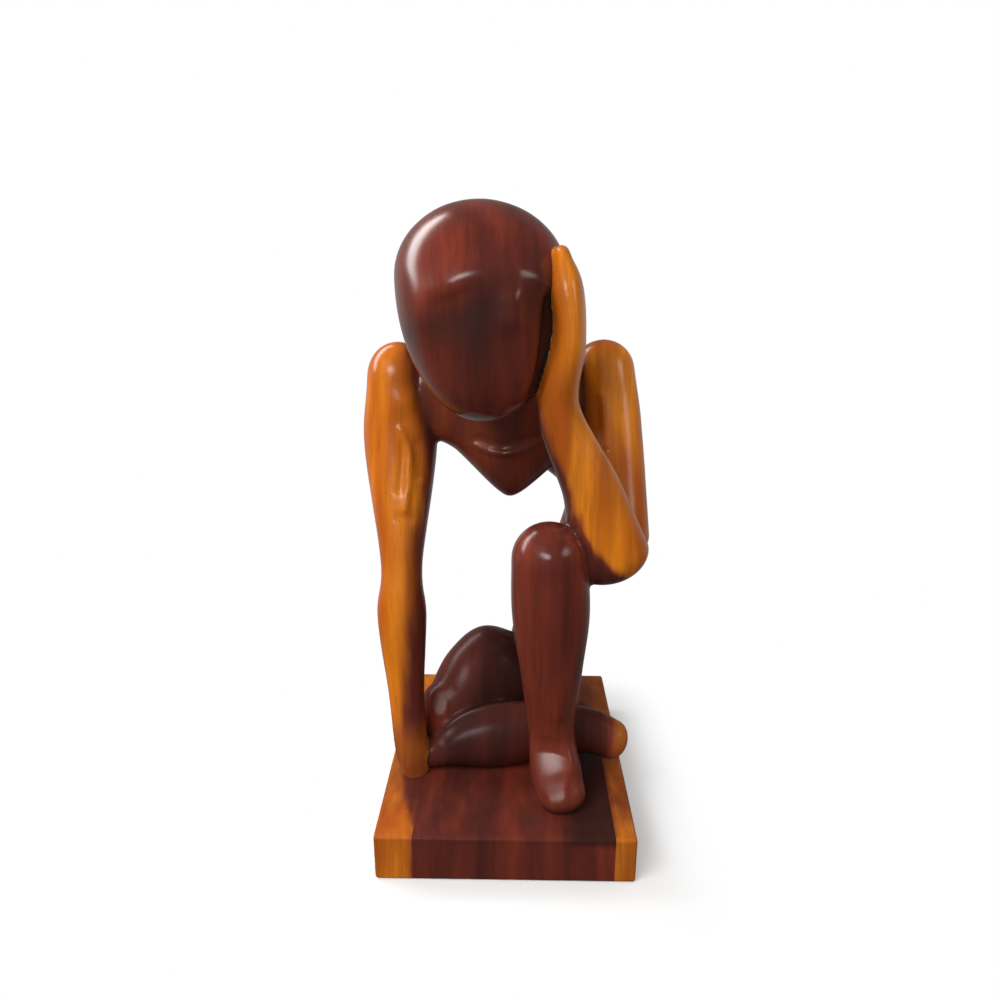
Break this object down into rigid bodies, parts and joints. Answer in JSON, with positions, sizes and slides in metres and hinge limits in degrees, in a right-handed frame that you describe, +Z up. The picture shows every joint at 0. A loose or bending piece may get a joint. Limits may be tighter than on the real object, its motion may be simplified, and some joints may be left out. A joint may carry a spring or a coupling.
{
  "type": "seated figure statue",
  "caption": "Glossy two-tone carved wood figure of a seated man, egg head resting on a raised hand, propped on a straight arm, a knee up and the other leg folded, on a block base.",
  "frame": {"origin": "middle of the base's underside", "axes": "+Z up; the figure faces -Y, so +X is to its left"},
  "size_m": [0.1389, 0.148, 0.3025],
  "materials": {
    "heartwood": "dark red-brown heartwood with vertical streaks under a gloss varnish",
    "sapwood": "amber sapwood with darker streaks under a gloss varnish",
    "dowel": "plain turned wood, unvarnished, hidden in the joints"
  },
  "bodies": {
    "root": {"base_middle_board": "heartwood", "base_right_board": "sapwood", "base_left_board": "sapwood", "head": "heartwood", "torso": "heartwood", "pelvis": "heartwood", "right_arm": "sapwood", "left_upper_arm": "sapwood", "left_forearm": "sapwood", "left_thigh": "heartwood", "left_shin": "heartwood", "right_thigh": "heartwood", "right_shin": "heartwood", "neck_dowel": "dowel", "waist_dowel": "dowel", "right_shoulder_dowel": "dowel", "left_shoulder_dowel": "dowel", "right_hip_dowel": "dowel", "left_hip_dowel": "dowel", "left_knee_dowel": "dowel", "right_knee_dowel": "dowel", "left_elbow_dowel": "dowel", "right_hand_peg": "dowel", "left_foot_peg": "dowel", "right_shin_peg": "dowel", "pelvis_peg": "dowel"}
  },
  "joints": []
}
